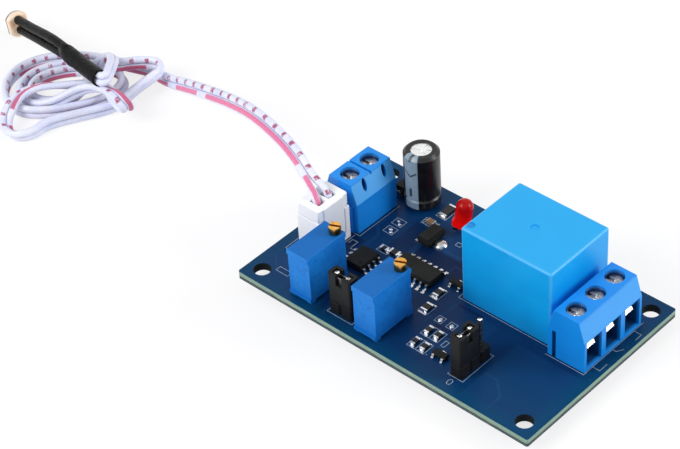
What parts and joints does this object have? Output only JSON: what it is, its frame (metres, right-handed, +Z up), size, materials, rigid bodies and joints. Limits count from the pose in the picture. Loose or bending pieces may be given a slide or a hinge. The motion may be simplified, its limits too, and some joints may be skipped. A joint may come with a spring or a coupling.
{
  "type": "light sensor relay module",
  "caption": "Small light-operated relay board with screw terminals, adjusting screws, jumper caps and a photocell on a flat plug-in lead.",
  "frame": {"origin": "under the board's centre, level with the tips of the pins below it", "axes": "+X along the board towards the relay's output terminal, +Y across it towards the capacitor's edge, +Z up from its component face"},
  "size_m": [0.1542, 0.0396, 0.0191],
  "materials": {
    "board": "solder mask, satin",
    "solder": "bright solder",
    "relay_blue": "smooth",
    "black_moulding": "moulded",
    "iron": "plated",
    "copper_wire": "enamelled wire",
    "contact_bronze": "spring bronze",
    "terminal_blue": "moulded",
    "plated_steel": "nickel plated",
    "trimmer_blue": "moulded",
    "brass": "machined",
    "gold_pin": "gold plated",
    "tinned_lead": "tinned",
    "white_nylon": "moulded nylon",
    "can_aluminium": "drawn can",
    "rubber_bung": "moulded",
    "black_film": "shrunk film",
    "red_lens": "clear tinted epoxy",
    "chip_ceramic": "glazed",
    "tan_ceramic": "fired",
    "cord_vinyl": "soft vinyl with pink dashes",
    "shrink_tube": "shrunk tube",
    "cell_ceramic": "coated ceramic"
  },
  "bodies": {
    "module": {"circuit_board": "board", "solder_joints": "solder", "relay_case": "relay_blue", "relay_base": "black_moulding", "relay_yoke": "iron", "relay_core": "iron", "relay_bobbin": "black_moulding", "relay_winding": "copper_wire", "relay_contacts": "tinned_lead", "output_terminal": "terminal_blue", "output_terminal_contacts": "plated_steel", "input_terminal": "terminal_blue", "input_terminal_contacts": "plated_steel", "sensitivity_trimmer": "trimmer_blue", "delay_trimmer": "trimmer_blue", "mode_header": "black_moulding", "output_header": "black_moulding", "header_pins": "gold_pin", "sensor_socket": "white_nylon", "sensor_plug": "white_nylon", "plug_crimps": "tinned_lead", "capacitor_can": "can_aluminium", "capacitor_bung": "rubber_bung", "capacitor_sleeve": "black_film", "lamp_lens": "red_lens", "component_leads": "tinned_lead", "comparator_chip": "black_moulding", "logic_chip": "black_moulding", "chip_leads": "tinned_lead", "transistors": "black_moulding", "regulator": "black_moulding", "diode": "black_moulding", "chip_resistors": "chip_ceramic", "chip_capacitors": "tan_ceramic", "chip_ends": "solder", "sensor_cord": "cord_vinyl", "sensor_cord_hank": "cord_vinyl", "splice_sleeve": "shrink_tube", "leg_sleeves": "shrink_tube", "photocell_legs": "tinned_lead", "photocell": "cell_ceramic"},
    "sensitivity_screw": {"sensitivity_screw": "brass"},
    "delay_screw": {"delay_screw": "brass"},
    "output_screw_1": {"output_screw_1": "plated_steel"},
    "output_clamp_1": {"output_clamp_1": "plated_steel"},
    "output_screw_2": {"output_screw_2": "plated_steel"},
    "output_clamp_2": {"output_clamp_2": "plated_steel"},
    "output_screw_3": {"output_screw_3": "plated_steel"},
    "output_clamp_3": {"output_clamp_3": "plated_steel"},
    "input_screw_1": {"input_screw_1": "plated_steel"},
    "input_clamp_1": {"input_clamp_1": "plated_steel"},
    "input_screw_2": {"input_screw_2": "plated_steel"},
    "input_clamp_2": {"input_clamp_2": "plated_steel"},
    "mode_jumper": {"mode_jumper": "black_moulding", "mode_jumper_clip": "contact_bronze"},
    "output_jumper": {"output_jumper": "black_moulding", "output_jumper_clip": "contact_bronze"},
    "relay_armature": {"relay_armature": "iron", "relay_contact_spring": "contact_bronze"}
  },
  "joints": [
    {"name": "sensitivity_adjust", "type": "hinge", "parent": "module", "child": "sensitivity_screw", "pos_m": [-0.01745, -0.00996, 0.0136], "axis": [0, 0, -1], "continuous": true},
    {"name": "delay_adjust", "type": "hinge", "parent": "module", "child": "delay_screw", "pos_m": [-0.00276, -0.00996, 0.0136], "axis": [0, 0, -1], "continuous": true},
    {"name": "output_screw_1_turn", "type": "hinge", "parent": "module", "child": "output_screw_1", "pos_m": [0.0258, 0.00042, 0.0111], "axis": [0, 0, -1], "range_deg": [-757, 325]},
    {"name": "output_clamp_1_rise", "type": "slide", "parent": "module", "child": "output_clamp_1", "axis": [0, 0, 1], "range_m": [-0.00105, 0.00045]},
    {"name": "output_screw_2_turn", "type": "hinge", "parent": "module", "child": "output_screw_2", "pos_m": [0.0258, 0.0055, 0.0111], "axis": [0, 0, -1], "range_deg": [-757, 325]},
    {"name": "output_clamp_2_rise", "type": "slide", "parent": "module", "child": "output_clamp_2", "axis": [0, 0, 1], "range_m": [-0.00105, 0.00045]},
    {"name": "output_screw_3_turn", "type": "hinge", "parent": "module", "child": "output_screw_3", "pos_m": [0.0258, 0.01058, 0.0111], "axis": [0, 0, -1], "range_deg": [-757, 325]},
    {"name": "output_clamp_3_rise", "type": "slide", "parent": "module", "child": "output_clamp_3", "axis": [0, 0, 1], "range_m": [-0.00105, 0.00045]},
    {"name": "input_screw_1_turn", "type": "hinge", "parent": "module", "child": "input_screw_1", "pos_m": [-0.0261, 0.00834, 0.0111], "axis": [0, 0, -1], "range_deg": [-757, 325]},
    {"name": "input_clamp_1_rise", "type": "slide", "parent": "module", "child": "input_clamp_1", "axis": [0, 0, 1], "range_m": [-0.00105, 0.00045]},
    {"name": "input_screw_2_turn", "type": "hinge", "parent": "module", "child": "input_screw_2", "pos_m": [-0.0261, 0.00326, 0.0111], "axis": [0, 0, -1], "range_deg": [-757, 325]},
    {"name": "input_clamp_2_rise", "type": "slide", "parent": "module", "child": "input_clamp_2", "axis": [0, 0, 1], "range_m": [-0.00105, 0.00045]},
    {"name": "mode_jumper_lift", "type": "slide", "parent": "module", "child": "mode_jumper", "axis": [0, 0, 1], "range_m": [0, 0.0065]},
    {"name": "output_jumper_lift", "type": "slide", "parent": "module", "child": "output_jumper", "axis": [0, 0, 1], "range_m": [0, 0.0065]},
    {"name": "relay_pull_in", "type": "hinge", "parent": "module", "child": "relay_armature", "pos_m": [0.005, 0.00715, 0.01525], "axis": [0, 1, 0], "range_deg": [0, 1.6], "stiffness_Nm_per_rad": 0.02, "springref_deg": -2.86}
  ],
  "couplings": [
    {"joint": "output_screw_1_turn", "follows": "output_clamp_1_rise", "rad_per_m": 12566},
    {"joint": "output_screw_2_turn", "follows": "output_clamp_2_rise", "rad_per_m": 12566},
    {"joint": "output_screw_3_turn", "follows": "output_clamp_3_rise", "rad_per_m": 12566},
    {"joint": "input_screw_1_turn", "follows": "input_clamp_1_rise", "rad_per_m": 12566},
    {"joint": "input_screw_2_turn", "follows": "input_clamp_2_rise", "rad_per_m": 12566}
  ]
}
